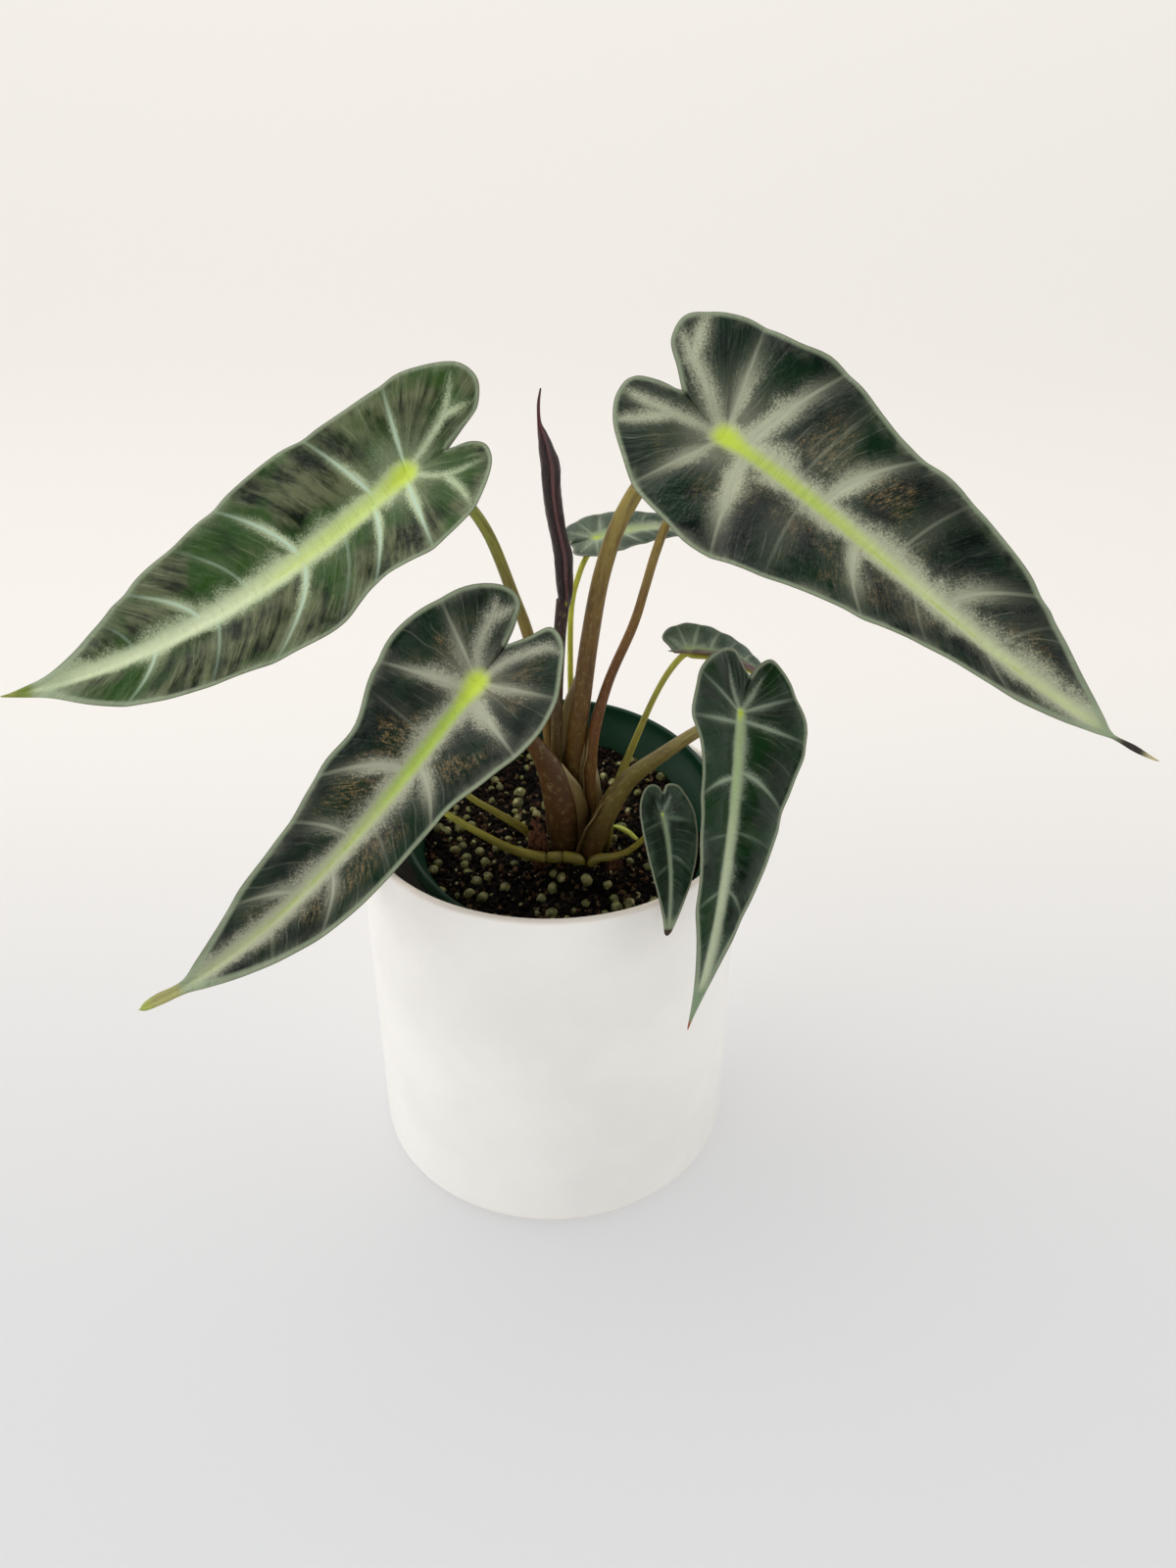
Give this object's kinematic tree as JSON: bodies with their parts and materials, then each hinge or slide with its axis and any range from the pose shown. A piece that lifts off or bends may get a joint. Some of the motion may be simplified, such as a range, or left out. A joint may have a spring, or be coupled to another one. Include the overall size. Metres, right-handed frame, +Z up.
{
  "type": "potted bambino alocasia",
  "caption": "Small arrow-leaved alocasia with dark, pale-veined blades on arching stems, in a tilted liner pot set inside a plain white cylindrical cover pot.",
  "frame": {"origin": "middle of the cover pot's underside, which is the flat face the object rests on", "axes": "+Z up along the cover pot's axis; -Y is the front, the side the picture is taken from; +X to the right seen from the front"},
  "size_m": [0.3181, 0.1553, 0.279],
  "materials": {
    "white_ceramic": "satin",
    "clay_pebbles": "matte",
    "green_plastic": "satin",
    "potting_mix": "matte",
    "corm": "matte",
    "leaf": "satin",
    "spear": "satin",
    "shoot": "satin"
  },
  "bodies": {
    "root": {"cover_pot": "white_ceramic", "pebble_bed": "clay_pebbles", "nursery_pot": "green_plastic", "soil": "potting_mix", "crown": "corm", "leaf_left": "leaf", "leaf_right": "leaf", "leaf_front_left": "leaf", "leaf_front_right": "leaf", "leaf_hidden_right": "leaf", "leaf_small_front": "leaf", "leaf_rear": "leaf", "leaf_rear_right": "leaf", "leaf_low_front": "leaf", "leaf_low_rear": "leaf", "spear_leaf": "spear", "new_shoot": "shoot"}
  },
  "joints": []
}
